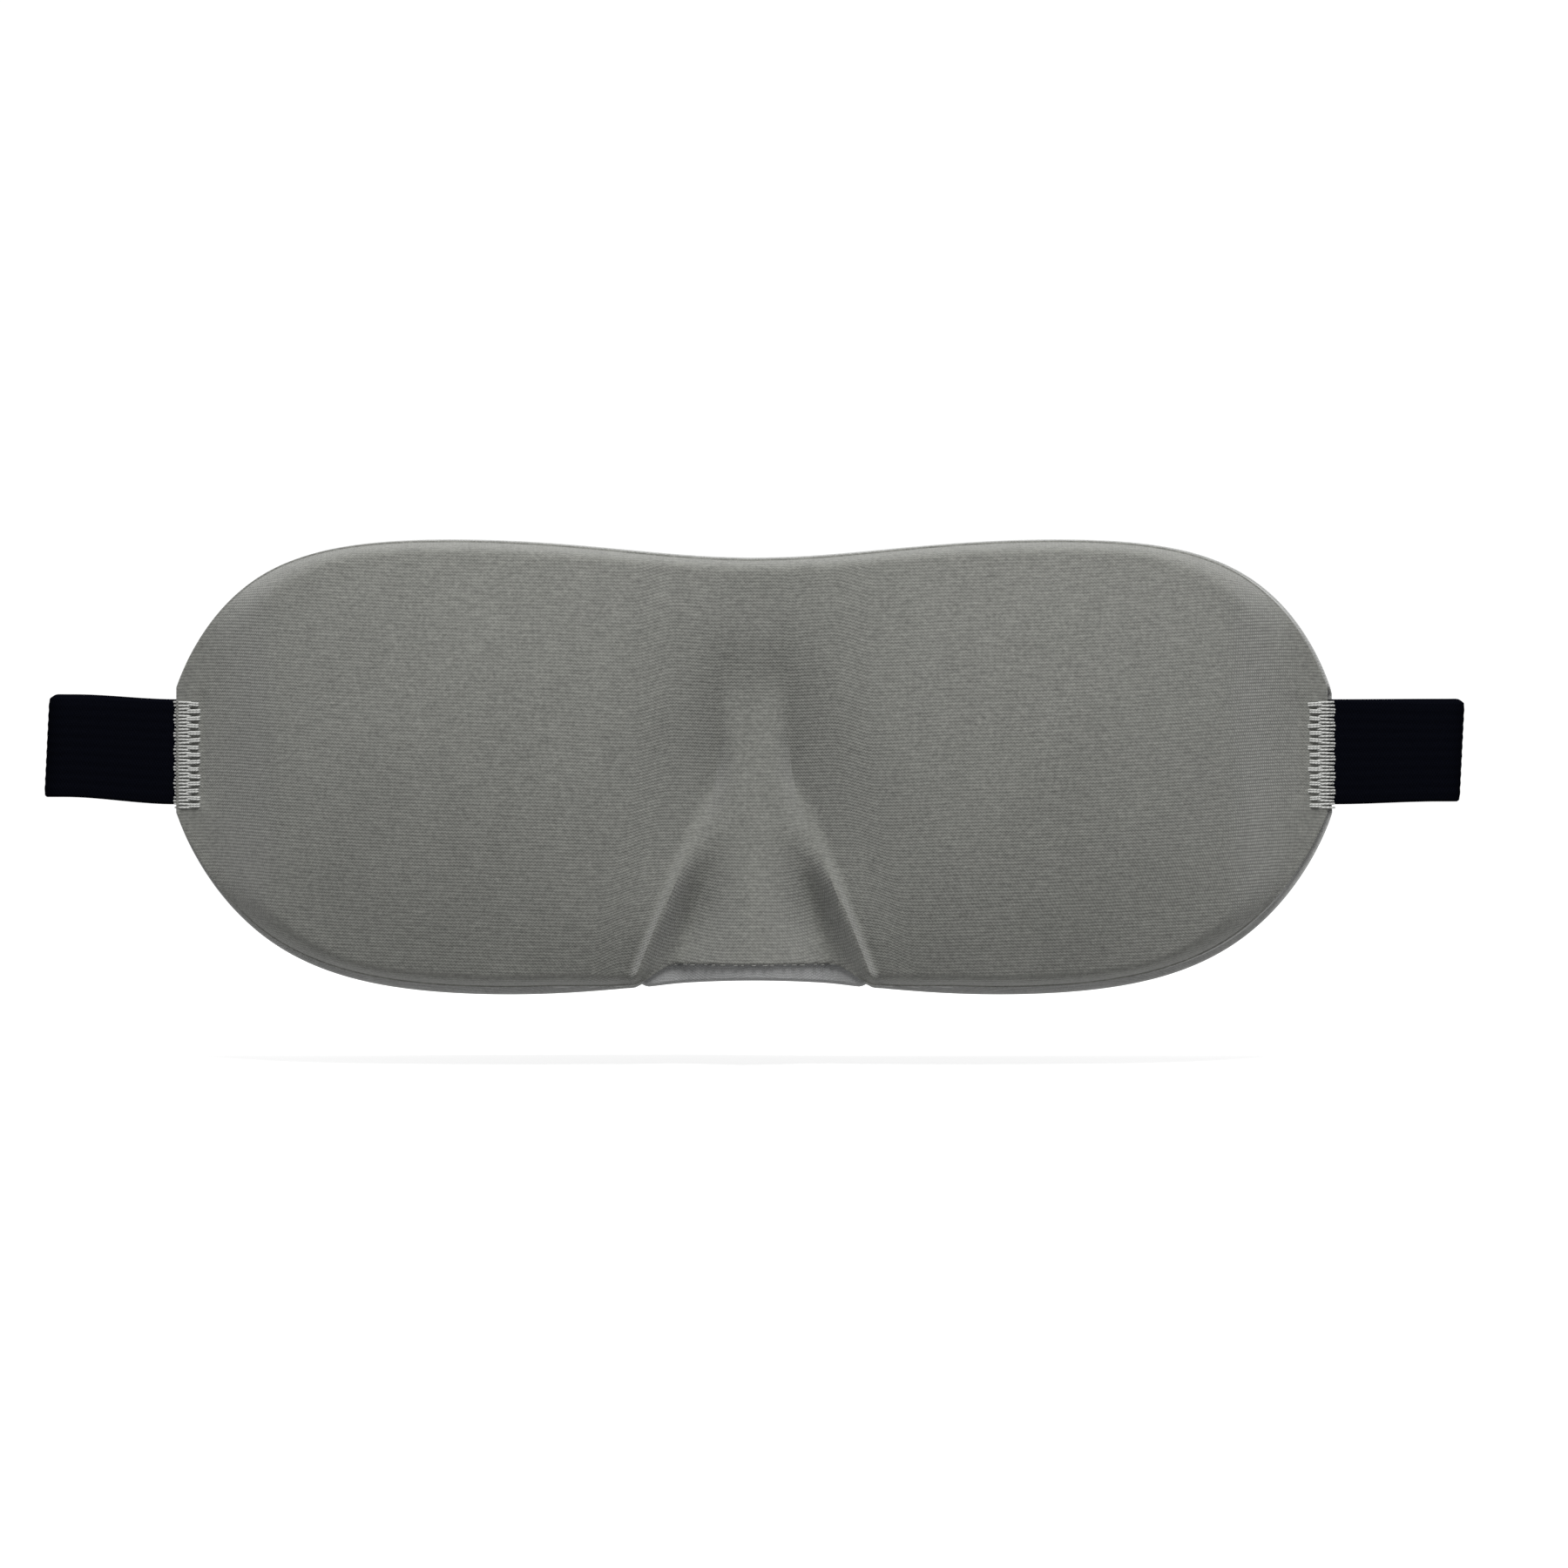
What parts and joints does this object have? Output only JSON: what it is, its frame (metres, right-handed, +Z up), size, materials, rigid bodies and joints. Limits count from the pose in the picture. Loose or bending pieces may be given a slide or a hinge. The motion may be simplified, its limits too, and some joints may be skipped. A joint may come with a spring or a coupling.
{
  "type": "sleep eye mask",
  "caption": "Contoured grey sleep eye mask with eye domes, a nose flap and an adjustable elastic strap closed by a slide buckle and ring.",
  "frame": {"origin": "middle of the face-side rim, half way up the mask, where it rests on the wearer's face", "axes": "+X to the viewer's right along the mask, +Y into the wearer's face, +Z up"},
  "size_m": [0.2816, 0.0402, 0.0902],
  "materials": {
    "cover_knit": "matte fine knit",
    "lining_knit": "matte brushed knit",
    "flap_knit": "matte fine knit",
    "foam": "open-cell foam",
    "elastic": "ribbed woven elastic",
    "thread": "polyester thread",
    "buckle_plastic": "satin moulded plastic"
  },
  "bodies": {
    "mask": {"outer_cover": "cover_knit", "foam_core": "foam", "inner_lining": "lining_knit", "nose_seam_thread": "thread", "left_strap_anchor": "elastic", "right_strap_anchor": "elastic", "left_bartack_front": "thread", "right_bartack_front": "thread", "left_bartack_back": "thread", "right_bartack_back": "thread"},
    "nose_flap": {"nose_flap": "flap_knit"},
    "left_tab": {"left_tab": "elastic", "left_fold": "elastic"},
    "left_strap": {"long_strap": "elastic", "strap_return": "elastic"},
    "slider": {"slider_frame": "buckle_plastic", "strap_end_loop": "elastic", "slider_bartack": "thread"},
    "right_tab": {"right_tab": "elastic", "right_fold": "elastic"},
    "right_strap": {"right_strap": "elastic", "ring_bartack": "thread"},
    "ring": {"strap_ring": "buckle_plastic"}
  },
  "joints": [
    {"name": "left_tab_swing", "type": "hinge", "parent": "mask", "child": "left_tab", "pos_m": [-0.1157, 0.00444, 0.0035], "axis": [0, 0, -1], "range_deg": [0, 66], "stiffness_Nm_per_rad": 0.005},
    {"name": "left_strap_swing", "type": "hinge", "parent": "left_tab", "child": "left_strap", "pos_m": [-0.1363, 0.00834, 0.0035], "axis": [0, 0, 1], "range_deg": [0, 91.4], "deforming": ["left_fold"]},
    {"name": "slider_slide", "type": "slide", "parent": "left_strap", "child": "slider", "axis": [1, 0, 0], "range_m": [-0.045, 0.025], "deforming": ["strap_return"]},
    {"name": "right_tab_swing", "type": "hinge", "parent": "mask", "child": "right_tab", "pos_m": [0.1157, 0.00444, 0.0035], "axis": [0, 0, 1], "range_deg": [0, 66]},
    {"name": "right_strap_swing", "type": "hinge", "parent": "right_tab", "child": "right_strap", "pos_m": [0.1363, 0.00834, 0.0035], "axis": [0, 0, -1], "range_deg": [0, 91.4], "deforming": ["right_fold"]},
    {"name": "ring_swivel", "type": "hinge", "parent": "right_strap", "child": "ring", "pos_m": [0.009, 0.01414, 0.0035], "axis": [0, 0, 1], "range_deg": [-5, 5]},
    {"name": "nose_flap_hinge", "type": "hinge", "parent": "mask", "child": "nose_flap", "pos_m": [0, -0.00833, -0.014], "axis": [1, 0, 0], "range_deg": [0, 20], "stiffness_Nm_per_rad": 0.01}
  ],
  "couplings": [
    {"joint": "left_strap_swing", "follows": "left_tab_swing", "ratio": 1.384},
    {"joint": "right_tab_swing", "follows": "left_tab_swing", "ratio": 1},
    {"joint": "right_strap_swing", "follows": "left_tab_swing", "ratio": 1.384}
  ]
}
